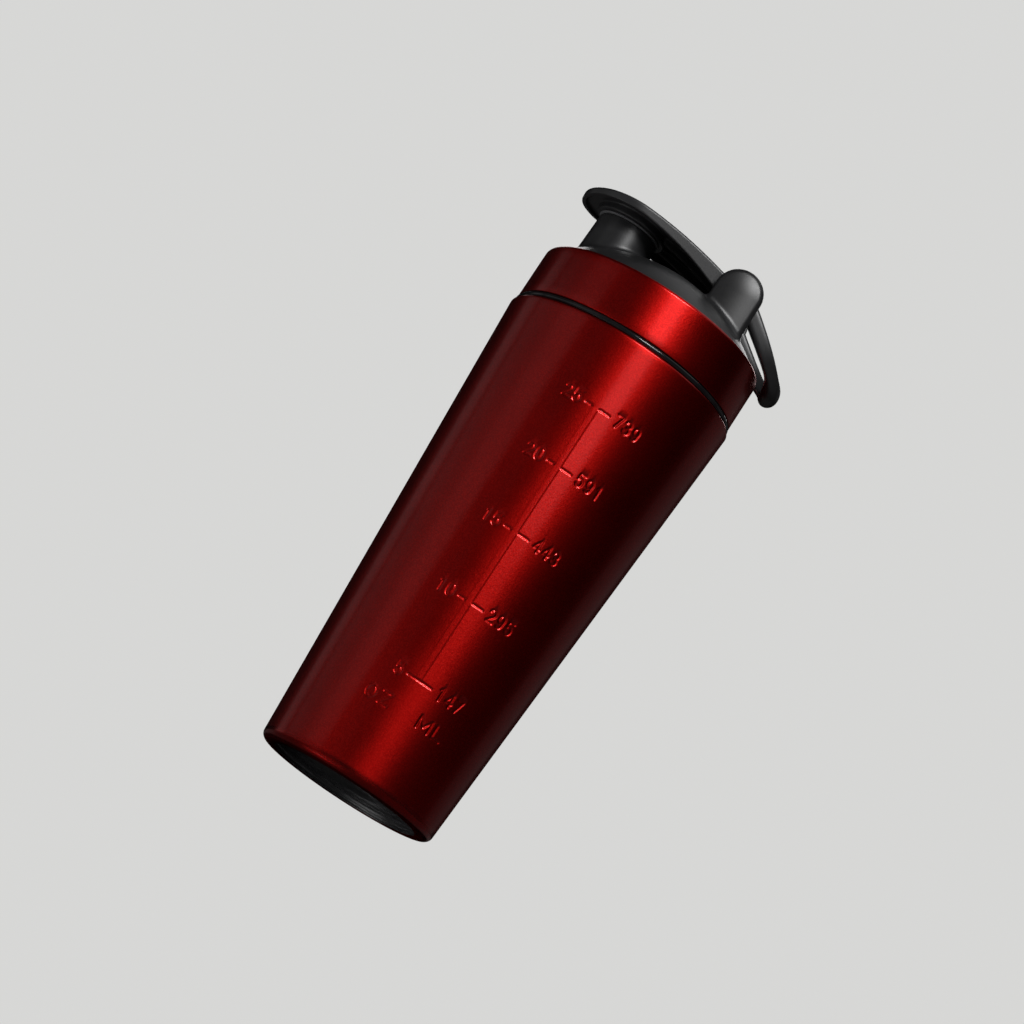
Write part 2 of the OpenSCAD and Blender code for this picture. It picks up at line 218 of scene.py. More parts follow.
def bare_steel():
    """Drawn and brushed stainless steel: fine lines round the axis, with faint stains."""
    n = Nodes("bare_steel")
    lines = n.noise(90, 3, 0.6, n.stretched(1, 1, 60))
    stain = n.noise(30, 4, 0.6)
    tone = n.mix(n.range(stain, 0.4, 0.75, 0, 1), (0.60, 0.60, 0.61), (0.47, 0.46, 0.46))
    n.surface(Base_Color=tone, Metallic=1.0, Roughness=n.range(lines, 0.3, 0.7, 0.16, 0.27))
    n.link(n.bump(lines, 0.00003, 0.3), n.shader.inputs["Normal"])
    return n.material


def black_plastic():
    """Moulded polypropylene with a fine spark-eroded grain and slightly polished high spots."""
    n = Nodes("black_plastic")
    grain = n.noise(2200, 2, 0.6)
    wear = n.noise(60, 4, 0.6)
    tone = n.mix(n.range(wear, 0.35, 0.7, 0, 1), (0.022, 0.022, 0.023), (0.032, 0.032, 0.034))
    n.surface(Base_Color=tone, Roughness=n.range(wear, 0.3, 0.7, 0.33, 0.40), IOR=1.6)
    n.link(n.bump(grain, 0.00004, 0.5), n.shader.inputs["Normal"])
    return n.material


def gloss_rubber():
    """Glossy black moulded ring, with faint ripples."""
    n = Nodes("gloss_rubber")
    ripple = n.noise(160, 2)
    tone = n.mix(n.range(ripple, 0.4, 0.7, 0, 1), (0.010, 0.010, 0.011), (0.016, 0.016, 0.017))
    n.surface(Base_Color=tone, Roughness=n.range(ripple, 0.3, 0.7, 0.12, 0.2), IOR=1.5)
    n.link(n.bump(ripple, 0.00003, 0.4), n.shader.inputs["Normal"])
    return n.material


def silicone():
    """Matt grey silicone with a dusty surface."""
    n = Nodes("silicone")
    dust = n.noise(900, 3, 0.6)
    tone = n.mix(n.range(dust, 0.45, 0.7, 0, 1), (0.15, 0.15, 0.16), (0.21, 0.21, 0.215))
    n.surface(Base_Color=tone, Roughness=n.range(dust, 0.3, 0.7, 0.5, 0.62), IOR=1.41)
    n.link(n.bump(dust, 0.00004, 0.5), n.shader.inputs["Normal"])
    return n.material


MATERIALS = {
    "red_lacquer": red_lacquer(),
    "bare_steel": bare_steel(),
    "black_plastic": black_plastic(),
    "black_gloss_rubber": gloss_rubber(),
    "grey_silicone": silicone(),
}


# ---------------------------------------------------------------- meshes

def add_piece(name, body, points, faces, materials, face_material=None):
    """A smooth-shaded mesh in metres that rides on body."""
    mesh = bpy.data.meshes.new(name)
    mesh.from_pydata([tuple(p) for p in points], [], [tuple(f) for f in faces])
    for material in materials:
        mesh.materials.append(material)
    if face_material is not None:
        mesh.polygons.foreach_set("material_index", np.asarray(face_material, np.int32))
    mesh.polygons.foreach_set("use_smooth", np.ones(len(mesh.polygons), bool))
    mesh.validate()
    mesh.update()
    piece = bpy.data.objects.new(name, mesh)
    bpy.context.scene.collection.objects.link(piece)
    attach(piece, body)
    return piece


def ring_faces(rings, sides, closed=True):
    """Quads between neighbouring rings of points, and from the last ring back to the first if closed."""
    i, j = np.meshgrid(np.arange(rings if closed else rings - 1), np.arange(sides), indexing="ij")
    k, m = (i + 1) % rings, (j + 1) % sides
    return np.stack([i * sides + j, i * sides + m, k * sides + m, k * sides + j], -1).reshape(-1, 4).tolist()


def arc(cx, cy, rx, ry, start, end, steps=10):
    """Points on an ellipse's arc, in degrees."""
    return [(cx + rx * cos(radians(a)), cy + ry * sin(radians(a))) for a in np.linspace(start, end, steps)]


def round_arc(cx, cy, radius, start, end, steps=6):
    """Points on a circle's arc, such as a rounded corner of an outline."""
    return arc(cx, cy, radius, radius, start, end, steps)


def smooth(t):
    """Eases from 0 to 1 as t goes from 0 to 1."""
    t = np.clip(t, 0, 1)
    return t * t * (3 - 2 * t)


# ---------------------------------------------------------------- fluid scale
# Places on the scale are arc length round the wall from its middle line, and height, in millimetres.

# Strokes of each character in a box one unit wide and one unit high
GLYPHS = {
    "0": [arc(0.5, 0.66, 0.5, 0.34, 0, 180) + arc(0.5, 0.34, 0.5, 0.34, 180, 360) + [(1, 0.66)]],
    "1": [[(0.22, 0.8), (0.55, 1), (0.55, 0)]],
    "2": [arc(0.5, 0.7, 0.5, 0.3, 165, -35) + [(0.0, 0.0), (1, 0)]],
    "3": [arc(0.48, 0.75, 0.46, 0.25, 160, -90) + [(0.4, 0.5)], arc(0.48, 0.26, 0.52, 0.26, 90, -160)],
    "4": [[(0.78, 0), (0.78, 1), (0, 0.3), (1.05, 0.3)]],
    "5": [[(0.95, 1), (0.15, 1), (0.06, 0.54)] + arc(0.48, 0.32, 0.5, 0.32, 125, -150)],
    "7": [[(0, 1), (1, 1), (0.35, 0)]],
    "9": [arc(0.5, 0.69, 0.47, 0.31, 0, 360, 18),
          [(0.97, 0.69), (0.9, 0.35)] + arc(0.42, 0.32, 0.48, 0.32, 0, -120)],
    "O": [arc(0.5, 0.5, 0.55, 0.5, 0, 360, 24)],
    "Z": [[(0, 1), (1, 1), (0, 0), (1, 0)]],
    "M": [[(0, 0), (0, 1), (0.5, 0.25), (1, 1), (1, 0)]],
    "L": [[(0, 1), (0, 0), (1, 0)]],
}
DIGIT_W, DIGIT_H, DIGIT_STEP, DIGIT_RISE = 2.35, 4.5, 3.9, 0.4
STROKE, STROKE_SLOPE = 0.85, 0.52
PRESS = 0.27
LEFT_EDGE, RIGHT_EDGE = -5.8, 8.8
# Height of each mark, with its figure in fluid ounces and in millilitres
SCALE = (
    (152.5, "25", "739"),
    (128.1, "20", "591"),
    (101.1, "15", "443"),
    (72.3, "10", "295"),
    (40.4, "5", "147"),
)
UNIT_Z = 29.2
# Each letter of the unit marks, with its left edge and its width
UNITS = (("O", -12.6, 3.2), ("Z", -7.0, 3.4), ("M", 8.6, 4.6), ("L", 15.4, 3.3))
SEAM_LEFT, SEAM, SEAM_RIGHT = -0.85, 1.8, 5.8
SEAM_RISE, SEAM_STEP = 0.1, 0.02
SEAM_STEEP = 0.35
LEFT_TICK, RIGHT_TICK = (-3.5, -1.2), (2.1, 6.1)
FAR = 99.0


def written(text, left, middle_z, width=DIGIT_W):
    """The strokes of a text whose first character starts at left."""
    strokes = []
    for i, character in enumerate(text):
        start = left + i * DIGIT_STEP
        for stroke in GLYPHS[character]:
            strokes.append([(start + x * width, middle_z + (y - 0.5) * DIGIT_H) for x, y in stroke])
    return strokes


def scale_strokes():
    """Every stroke of the scale, as a list of points."""
    strokes = []
    for z, ounces, millilitres in SCALE:
        strokes += written(ounces, LEFT_EDGE - DIGIT_W - DIGIT_STEP * (len(ounces) - 1), z + DIGIT_RISE)
        strokes += written(millilitres, RIGHT_EDGE, z + DIGIT_RISE)
        if ounces == SCALE[-1][1]:
            strokes.append([(LEFT_TICK[0], z), (RIGHT_TICK[1], z)])
        else:
            strokes += [[(start, z), (end, z)] for start, end in (LEFT_TICK, RIGHT_TICK)]
    for letter, left, width in UNITS:
        strokes += written(letter, left, UNIT_Z, width)
    return strokes


def stroke_distance(s, z, strokes, reach=2):
    """Distance from each point to the nearest stroke, or FAR where there is none within reach."""
    best = np.full(s.shape, FAR)
    for stroke in strokes:
        for (ax, ay), (bx, by) in zip(stroke, stroke[1:]):
            dx, dy = bx - ax, by - ay
            near = abs(s - (ax + bx) / 2) < abs(dx) / 2 + reach
            near &= abs(z - (ay + by) / 2) < abs(dy) / 2 + reach
            if not near.any():
                continue
            ps, pz = s[near] - ax, z[near] - ay
            t = np.clip((ps * dx + pz * dy) / (dx * dx + dy * dy + 1e-12), 0, 1)
            best[near] = np.minimum(best[near], np.hypot(ps - t * dx, pz - t * dy))
    return best


def pressed_depth(s, z):
    """How deep the scale is pressed into the wall, and less than nothing where the seam line stands out."""
    marks = PRESS * smooth((STROKE / 2 + 0.22 - stroke_distance(s, z, scale_strokes())) / STROKE_SLOPE)
    strip = SEAM_STEP * smooth((s - SEAM_LEFT) / 0.3) * (s < SEAM)
    fall = np.clip((SEAM_RIGHT - s) / (SEAM_RIGHT - SEAM), 0, 1) ** 2
    crest = np.where(s < SEAM, smooth((s - SEAM + SEAM_STEEP) / SEAM_STEEP), fall)
    ends = smooth(np.minimum(z - SCALE[-1][0], SCALE[0][0] - z))
    return marks - ends * np.maximum(strip, SEAM_RISE * crest)


# ---------------------------------------------------------------- cup

BASE_R, EDGE_R, CUP_WALL = 34.8, 2.6, 0.6
NECK_R, NECK_H, LIP_R, SHOULDER_CORNER = 38.8, 14, 0.85, 0.9
FOOT_RIM = 2.0
PLAIN_ROWS, MARK_ROWS, MARK_REACH = 4.0, 0.27, 3.3
# The scale's part of the turn, in degrees from its middle line, and how far apart the points stand there
SCALE_TURN, SCALE_COLUMNS = (-23, 33), 0.38
PLAIN_COLUMNS = 124


def wall_rows(z0, z1):
    """Heights of the wall's rows of points, close together where the scale is written."""
    rows = {z0, z1} | set(np.arange(z0 + 3, z1, PLAIN_ROWS))
    for middle in [z for z, _, _ in SCALE] + [UNIT_Z]:
        rows -= {z for z in rows if abs(z - middle) < MARK_REACH + 0.4}
        rows |= set(np.arange(middle - MARK_REACH, middle + MARK_REACH + 0.01, MARK_ROWS))
    return sorted(rows)


def cup_outline():
    """The cup's closed outline of radius and height, the slice of it that is the outer wall, and the number
    of its first bare point."""
    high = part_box("cup_body")[1]
    shoulder_r, top = high[0] / MM, high[2] / MM
    lip_z = top - LIP_R
    shoulder_z = lip_z - NECK_H
    lean = degrees(atan2(shoulder_r - BASE_R, shoulder_z - EDGE_R))
    foot_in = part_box("base_plate")[1][0] / MM - FOOT_RIM
    edge = round_arc(BASE_R - EDGE_R, EDGE_R, EDGE_R, -90, -lean, 12)
    r0, z0 = edge[-1]
    z1 = shoulder_z - SHOULDER_CORNER

    def wall_r(z):
        return r0 + (shoulder_r - r0) * (z - z0) / (z1 - z0)

    wall = [(wall_r(z), z) for z in wall_rows(z0, z1)]
    outline = [(foot_in, 0.0)] + edge[:-1] + wall
    outer_wall = slice(len(outline) - len(wall), len(outline))
    outline += round_arc(shoulder_r - SHOULDER_CORNER, z1, SHOULDER_CORNER, 15, 90, 5)
    outline += [(NECK_R + 0.35, shoulder_z), (NECK_R, shoulder_z + 0.35)]
    bare_from = len(outline) - 1
    outline += [(NECK_R, lip_z - 1)] + round_arc(NECK_R - CUP_WALL + LIP_R, lip_z, LIP_R, -60, 250, 14)
    outline += [(NECK_R - CUP_WALL, shoulder_z - CUP_WALL)]
    outline += [(shoulder_r - CUP_WALL - 1.2, shoulder_z - CUP_WALL - 0.1), (shoulder_r - CUP_WALL, z1 - 1)]
    outline += [(wall_r(z) - CUP_WALL, z) for z in np.linspace(z1 - 6, z0, 24)]
    outline += round_arc(BASE_R - EDGE_R, EDGE_R, EDGE_R - CUP_WALL, -lean, -90, 8)[1:]
    outline += [(foot_in, CUP_WALL)]
    return np.array(outline), outer_wall, bare_from


def add_cup():
    """The drawn steel cup with its scale pressed in: lacquer outside, bare steel from the neck inwards."""
    outline, outer_wall, bare_from = cup_outline()
    middle = radians(CAMERA_TURN - 90)
    start, end = SCALE_TURN
    fine = np.radians(np.arange(start, end + 0.01, SCALE_COLUMNS))
    coarse = np.radians(np.linspace(end, start + 360, PLAIN_COLUMNS)[1:-1])
    span = np.concatenate([fine, coarse])
    turns = middle + span
    radius = np.repeat(outline[:, :1], len(turns), 1)
    height = np.repeat(outline[:, 1:], len(turns), 1)
    arc_length = np.where(span > pi, FAR, span * radius[outer_wall])
    radius[outer_wall] -= pressed_depth(arc_length, height[outer_wall])
    points = np.stack([radius * np.cos(turns), radius * np.sin(turns), height], -1).reshape(-1, 3) * MM
    faces = ring_faces(len(outline), len(turns))
    bare = np.repeat(np.arange(len(outline)) >= bare_from, len(turns))
    materials = [MATERIALS["red_lacquer"], MATERIALS["bare_steel"]]
    cup = add_piece("cup_shell", "cup", points, faces, materials, bare)
    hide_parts("cup_body")


add_cup()


# ---------------------------------------------------------------- smooth solids
# A solid is a function of x, y and z in millimetres: negative inside, and about the distance to the surface
# near it.

def united(a, b, blend):
    """Union whose inner corner is filled with a soft fillet."""
    h = np.maximum(blend - abs(a - b), 0) / blend
    return np.minimum(a, b) - h * h * blend / 4


def shared(a, b, edge):
    """Intersection whose outer corner is rounded to the radius edge."""
    a, b = a + edge, b + edge
    return np.hypot(np.maximum(a, 0), np.maximum(b, 0)) + np.minimum(np.maximum(a, b), 0) - edge


def cut(a, b, edge):
    """a without b, with the rim rounded."""
    return shared(a, -b, edge)


def between(value, low, high):
    """Negative where value lies between low and high."""
    return np.maximum(low - value, value - high)


def solid_mesh(solid, low, high, cell):
    """Points, outward normals and quads of a solid's surface: one point in each grid cell that it crosses."""
    start = np.array(low) - 1.5 * cell
    axes = [np.arange(a, b + 2.5 * cell, cell) for a, b in zip(start, high)]
    value = solid(*np.meshgrid(*axes, indexing="ij", sparse=True))
    inside = value < 0
    shape = np.array(value.shape)

    def cell_corner(array, offset):
        return array[tuple(slice(o, n - 1 + o) for o, n in zip(offset, shape))]

    offsets = [(i, j, k) for i in (0, 1) for j in (0, 1) for k in (0, 1)]
    filled = sum(cell_corner(inside, o).astype(np.int8) for o in offsets)
    crossed = (filled > 0) & (filled < len(offsets))
    index = np.full(crossed.shape, -1)
    index[crossed] = np.arange(crossed.sum())
    cells = np.argwhere(crossed)
    total, count = np.zeros((len(cells), 3)), np.zeros((len(cells), 1))
    for axis in range(3):
        step = np.eye(3, dtype=int)[axis]
        for offset in offsets:
            if offset[axis]:
                continue
            a = value[tuple((cells + offset).T)]
            b = value[tuple((cells + offset + step).T)]
            hit = (a < 0) != (b < 0)
            share = np.where(hit, a / np.where(hit, a - b, 1), 0)
            total += hit[:, None] * (np.array(offset) + share[:, None] * step)
            count += hit[:, None]
    points = start + cell * (cells + total / count)
    quads = []
    for axis in range(3):
        step, b, c = np.eye(3, dtype=int)[axis], (axis + 1) % 3, (axis + 2) % 3
        near = np.argwhere(inside[tuple(slice(1, n - 1 - s) for n, s in zip(shape, step))]
                           != inside[tuple(slice(1 + s, n - 1) for n, s in zip(shape, step))]) + 1
        corners = []
        for ob, oc in ((-1, -1), (0, -1), (0, 0), (-1, 0)):
            around = near.copy()
            around[:, b] += ob
            around[:, c] += oc
            corners.append(index[tuple(around.T)])
        ring = np.stack(corners, -1)
        outward = inside[tuple(near.T)]
        quads.append(np.where(outward[:, None], ring, ring[:, ::-1]))
    return settle(solid, points, np.concatenate(quads), cell)


def slope(solid, points, reach):
    """Gradient of a solid at each point."""
    parts = []
    for axis in range(3):
        step = np.eye(3)[axis] * reach
        parts.append((solid(*(points + step).T) - solid(*(points - step).T)) / (2 * reach))
    return np.stack(parts, -1)


def settle(solid, points, quads, cell, turns=5):
    """Spreads the points evenly, puts them on the surface, and gives them back with normals and quads."""
    ends = np.concatenate([quads, np.roll(quads, 1, 1)]).reshape(-1)
    others = np.concatenate([np.roll(quads, 1, 1), quads]).reshape(-1)
    share = np.bincount(ends, minlength=len(points))[:, None]
    for turn in range(turns):
        if turn < turns - 1:
            mean = np.stack([np.bincount(ends, points[others, k], len(points)) for k in range(3)], -1) / share
            normal = slope(solid, points, cell * 0.1)
            normal /= np.linalg.norm(normal, axis=1)[:, None] + 1e-9
            move = (mean - points) * 0.6
            points = points + move - normal * (move * normal).sum(1)[:, None]
        for _ in range(2):
            steep = slope(solid, points, cell * 0.05)
            size = (steep * steep).sum(1) + 1e-6
            step = np.clip(solid(*points.T) / np.sqrt(size), -cell / 2, cell / 2) / np.sqrt(size)
            points = points - steep * step[:, None]
    normal = slope(solid, points, cell * 0.25)
    normal /= np.linalg.norm(normal, axis=1)[:, None] + 1e-9
    return points, normal, quads


def add_solid(name, body, slot, replaced, solid, low, high, cell, place=Matrix.Identity(4)):
    """The smooth mesh of a solid, riding on body in place of a CAD node. place is in millimetres."""
    points, normals, quads = solid_mesh(solid, low, high, cell)
    matrix = np.array(place)
    points = points @ matrix[:3, :3].T + matrix[:3, 3]
    normals = normals @ matrix[:3, :3].T
    piece = add_piece(name, body, points * MM, quads.tolist(), [MATERIALS[slot]])
    piece.data.normals_split_custom_set_from_vertices(normals)
    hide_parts(replaced)


# ---------------------------------------------------------------- lid

def joint_place(name):
    """The place of a joint's axis, in millimetres."""
    found = next(j for j in frame["record"]["behaviour"]["joints"] if j["name"] == name)
    return [v / MM for v in found["pos_m"]]


HINGE_X, _, HINGE_Z = joint_place("cap_flip")
BAND_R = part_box("lid_band")[1][0] / MM
BAND_BOTTOM, BAND_TOP = (corner[2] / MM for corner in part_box("lid_band"))
SHOULDER_Z = BAND_BOTTOM - 2.5
SEAT_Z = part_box("lid_seal")[1][2] / MM
LEAD = 12.0
THREAD_SPAN, THREAD_FADE = 204, 12
THREAD_DEPTH, THREAD_HALF_H, THREAD_TAPER = 1.1, 1.2, 0.7
THREAD_Z = SHOULDER_Z + 4.6
LID_THREAD_TURN, LID_THREAD_DROP = 45, 1.8
PIN_R = 1.5
RUNNING = 0.06
DOME_R, DOME_T = 62.6, 1.8
DOME_RIM = BAND_R - 1.75
DOME_Z = BAND_TOP - 0.25 - sqrt(DOME_R ** 2 - DOME_RIM ** 2)
RIB_IN, RIB_OUT, RIB_Z = 35.2, 36.8, SHOULDER_Z + 12.6
SKIRT_IN, SKIRT_OUT = 41.9, BAND_R - 0.65
SPOUT_X, SPOUT_R, SPOUT_T = -24.3, 12.5, 2.3
SPOUT_TOP = SHOULDER_Z + 45.6
SPOUT_DRAFT = 0.03
LID_FILLET = 2.2
EAR_R, EAR_IN, EAR_OUT, EAR_EDGE, EAR_CROWN = 9.0, 19.6, 23.2, 1.8, 1.2
PIN_END = 1.4
COLLAR_IN, COLLAR_OUT, COLLAR_H = 38.85, 40.5, 13


def thread_ridges(x, y, z, root, crest, start, first_turn=0):
    """Two helical ridges half a turn apart, standing from the radius root to the radius crest."""
    r, turn = np.hypot(x, y), np.degrees(np.arctan2(y, x))
    grow = 1 if crest > root else -1
    best = FAR
    for first in (first_turn, first_turn + 180):
        a = (turn - first + 20) % 360 - 20
        fade = np.clip(np.minimum(a, THREAD_SPAN - a) / THREAD_FADE, -0.3, 1)
        tip = root + (crest - root) * fade
        half = THREAD_HALF_H - THREAD_TAPER * np.clip((r - root) / (crest - root), -0.3, 1)
        ridge = shared(abs(z - start - LEAD * a / 360) - half, grow * (r - tip), 0.25)
        best = np.minimum(best, shared(ridge, -grow * (r - root) - 0.3, 0.05))
    return best


def lid_solid(x, y, z):
    """Skirt, dome, spout and hinge ears of the lid, with soft fillets where they meet."""
    r = np.hypot(x, y)
    dome = shared(np.hypot(r, z - DOME_Z) - DOME_R, r - DOME_RIM, 0.35)
    skirt = shared(r - SKIRT_OUT, between(z, BAND_BOTTOM + 0.1, BAND_TOP - 0.7), 0.9)
    lid = np.minimum(np.maximum(dome, RIB_Z - z), np.maximum(skirt, RIB_IN - r))
    tube = np.hypot(x - SPOUT_X, y)
    drawn_in = SPOUT_DRAFT * (z - BAND_TOP)
    spout = np.hypot(tube - SPOUT_R + SPOUT_T / 2, np.maximum(z - SPOUT_TOP + SPOUT_T / 2, 0)) - SPOUT_T / 2
    spout = np.maximum(spout, tube - SPOUT_R + drawn_in)
    lid = united(lid, np.maximum(spout, SEAT_Z + 4 - z), LID_FILLET)
    off_pin = np.hypot(x - HINGE_X, np.maximum(z - HINGE_Z, 0))
    ear = shared(off_pin - EAR_R, abs(y) - EAR_OUT + EAR_CROWN * (off_pin / EAR_R) ** 2, EAR_EDGE)
    ear = shared(ear, EAR_IN - abs(y), 0.4)
    lid = united(lid, np.maximum(ear, SEAT_Z + 3 - z), LID_FILLET)
    lid = cut(lid, np.maximum(between(r, RIB_OUT, SKIRT_IN), z - SEAT_Z), 0.3)
    lid = cut(lid, np.maximum(r - RIB_OUT, z - RIB_Z), 0.3)
    lid = cut(lid, shared(np.hypot(r, z - DOME_Z) - DOME_R + DOME_T, r - RIB_IN, 1.5), 0.4)
    lid = cut(lid, np.maximum(tube - SPOUT_R + SPOUT_T, SEAT_Z - z), 0.5)
    lid = cut(lid, np.maximum(np.hypot(x - HINGE_X, z - HINGE_Z) - PIN_R, PIN_END - EAR_OUT - y), 0.15)
    start = THREAD_Z - LID_THREAD_DROP + LEAD * LID_THREAD_TURN / 360
    return united(lid, thread_ridges(x, y, z, SKIRT_IN, SKIRT_IN - THREAD_DEPTH, start, LID_THREAD_TURN), 0.3)


def collar_solid(x, y, z):
    """The moulded collar round the neck with its two thread ridges."""
    r = np.hypot(x, y)
    upright = between(z, SHOULDER_Z + 0.05, SHOULDER_Z + COLLAR_H)
    collar = shared(between(r, COLLAR_IN, COLLAR_OUT), upright, 0.3)
    return united(collar, thread_ridges(x, y, z, COLLAR_OUT, COLLAR_OUT + THREAD_DEPTH, THREAD_Z), 0.3)


# ---------------------------------------------------------------- flip cap

CAP_END, CAP_HINGE_W, CAP_TOP = 21.0, 14.8, SHOULDER_Z + 51.5
CAP_ARCH_R, CAP_ARCH_X = 165.0, -23.5
CAP_UNDER_R, CAP_UNDER_X, CAP_UNDER_Z = 112.0, -28.0, CAP_TOP - 3.3
CAP_NARROW_X = HINGE_X - 8
CAP_DRAFT = 0.07
CAP_SIDE_T, CAP_TOP_T = 1.7, 1.8
CAP_RIB_IN, CAP_RIB_OUT = 5.96, 7.36
BARREL_R = 4.3
BOSS_R, BOSS_Z = 14.0, SPOUT_TOP + 0.8
STUD_HOLE_R, STUD_HOLE_H = 5.05, 2.45


def cap_plan(x, y):
    """Plan outline of the cap: a round end over the spout, narrowing to a bar at the hinge."""
    lean = np.arcsin((CAP_END - CAP_HINGE_W) / (CAP_NARROW_X - SPOUT_X))
    along, side = x - SPOUT_X, abs(y)
    taper = along * np.sin(lean) + side * np.cos(lean) - CAP_END
    flank = united(taper, np.maximum(side - CAP_HINGE_W, -along), 1.5)
    end = np.hypot(along, side) - CAP_END
    return np.where(along * np.cos(lean) < side * np.sin(lean), end, np.maximum(flank, x - HINGE_X))


def cap_solid(x, y, z):
    """The arched cap, hollow underneath, with its boss, two ribs and hinge barrel."""
    top = np.hypot(x - CAP_ARCH_X, z - CAP_TOP + CAP_ARCH_R) - CAP_ARCH_R
    plan = cap_plan(x, y) - CAP_DRAFT * np.minimum(top, 0)
    under = CAP_UNDER_R - np.hypot(x - CAP_UNDER_X, z - CAP_UNDER_Z + CAP_UNDER_R)
    cap = shared(shared(plan, top, 1.0), under, 0.5)
    hollow = np.maximum(np.maximum(plan + CAP_SIDE_T, top + CAP_TOP_T), x - CAP_NARROW_X)
    cap = cut(cap, hollow, 0.4)
    over_spout = np.hypot(x - SPOUT_X, y)
    boss = shared(over_spout - BOSS_R, np.maximum(BOSS_Z - z, top + 0.5), 0.6)
    cap = united(cap, boss, 0.8)
    rib = shared(between(abs(y), CAP_RIB_IN, CAP_RIB_OUT), np.maximum(under, top + 0.5), 0.3)
    cap = united(cap, np.maximum(rib, between(x, SPOUT_X + BOSS_R - 1, CAP_NARROW_X + 1)), 0.6)
    cap = np.maximum(cap, HINGE_Z - BARREL_R + 0.4 - z)
    pin = np.hypot(x - HINGE_X, z - HINGE_Z)
    cap = united(cap, shared(pin - BARREL_R, abs(y) - CAP_HINGE_W, 0.5), 1.2)
    cap = cut(cap, np.maximum(over_spout - STUD_HOLE_R, z - BOSS_Z - STUD_HOLE_H), 0.1)
    return cut(cap, pin - PIN_R - RUNNING, 0.2)


# ---------------------------------------------------------------- carry loop

LOOP_HANG = 38.5
LOOP_REACH, LOOP_HALF_W = 35.0, 17.2
# How square the loop's line is towards its end and towards its arms: 2 is an ellipse
LOOP_SQUARE_END, LOOP_SQUARE_SIDE = 3.2, 2.4
ARM_HALF_T, ARM_RISE, ARM_HALF_H, ARM_TIP_HALF_H = 2.0, 2.2, 3.1, 2.0
GRIP_R, GRIP_RISE, GRIP_HALF_LEN = 3.5, 2.0, 9.0
LOOP_EYE_R = 5.8


def loop_line(a):
    """Middle line of the loop in its own plane, from one arm to the other."""
    out = LOOP_REACH * np.maximum(np.sin(a), 0) ** (2 / LOOP_SQUARE_END)
    side = -LOOP_HALF_W * np.sign(np.cos(a)) * abs(np.cos(a)) ** (2 / LOOP_SQUARE_SIDE)
    return out, side


def loop_solid(out, side, rise):
    """The loop lying in the plane of out and side, with the hinge pin along side and a grip at its end."""
    out, side, rise = np.broadcast_arrays(out, side, rise)
    shape = out.shape
    flat = np.stack([out.ravel(), side.ravel()], -1)
    line = np.stack(loop_line(np.linspace(0, pi, 361)), -1)
    nearest = np.empty(len(flat), int)
    batch = 20000
    for first in range(0, len(flat), batch):
        part = slice(first, first + batch)
        gap = ((flat[part, None] - line[None]) ** 2).sum(-1)
        nearest[part] = gap.argmin(1)
    ahead = np.gradient(line, axis=0)
    ahead /= np.linalg.norm(ahead, axis=1)[:, None]
    offset = flat - line[nearest]
    across = offset[:, 0] * ahead[nearest, 1] - offset[:, 1] * ahead[nearest, 0]
    past = (offset * ahead[nearest]).sum(1)
    share = smooth(1.4 - abs(line[nearest, 1]) / GRIP_HALF_LEN)
    reach = line[nearest, 0] / LOOP_REACH
    half_t = ARM_HALF_T + (GRIP_R - ARM_HALF_T) * share
    arm_h = ARM_HALF_H + (ARM_TIP_HALF_H - ARM_HALF_H) * reach ** 2
    half_h = arm_h + (GRIP_R - arm_h) * share
    middle = (ARM_RISE + 0.5 * reach) * (1 - share) + GRIP_RISE * share
    power = 4 - 2 * share
    u, h = abs(across) / half_t, abs(rise.ravel() - middle) / half_h
    arm = ((u ** power + h ** power) ** (1 / power) - 1) * np.minimum(half_t, half_h)
    arm = np.maximum(arm, abs(past) - 1.0).reshape(shape)
    eye_r = np.hypot(out, rise)
    eye_sides = between(abs(side), LOOP_HALF_W - ARM_HALF_T, LOOP_HALF_W + ARM_HALF_T)
    eye = shared(eye_r - LOOP_EYE_R, eye_sides, 0.5)
    return cut(united(arm, eye, 1.5), eye_r - PIN_R - RUNNING, 0.25)


def add_lid_pieces():
    """The moulded pieces: lid, collar, cap and loop."""
    add_solid("lid_shell", "lid", "black_plastic", "lid_body", lid_solid,
              (-SKIRT_OUT, -SKIRT_OUT, BAND_BOTTOM), (SKIRT_OUT, SKIRT_OUT, HINGE_Z + EAR_R), 0.7)
    add_solid("thread_collar", "cup", "black_plastic", "neck_collar", collar_solid,
              (-42, -42, SHOULDER_Z), (42, 42, SHOULDER_Z + COLLAR_H), 0.7)
    add_solid("cap_shell", "cap", "black_plastic", "flip_cap", cap_solid,
              (SPOUT_X - CAP_END, -CAP_END, HINGE_Z - BARREL_R), (HINGE_X + BARREL_R, CAP_END, CAP_TOP), 0.45)
    hang = Matrix.Translation((HINGE_X, 0, HINGE_Z)) @ Matrix.Rotation(radians(LOOP_HANG), 4, "Y")
    add_solid("loop_strap", "loop", "black_plastic", "carry_loop", loop_solid,
              (-LOOP_EYE_R, -20, -LOOP_EYE_R), (LOOP_REACH + GRIP_R, 20, LOOP_EYE_R), 0.5, hang)


add_lid_pieces()


# ---------------------------------------------------------------- turned pieces

SHEET = 0.6


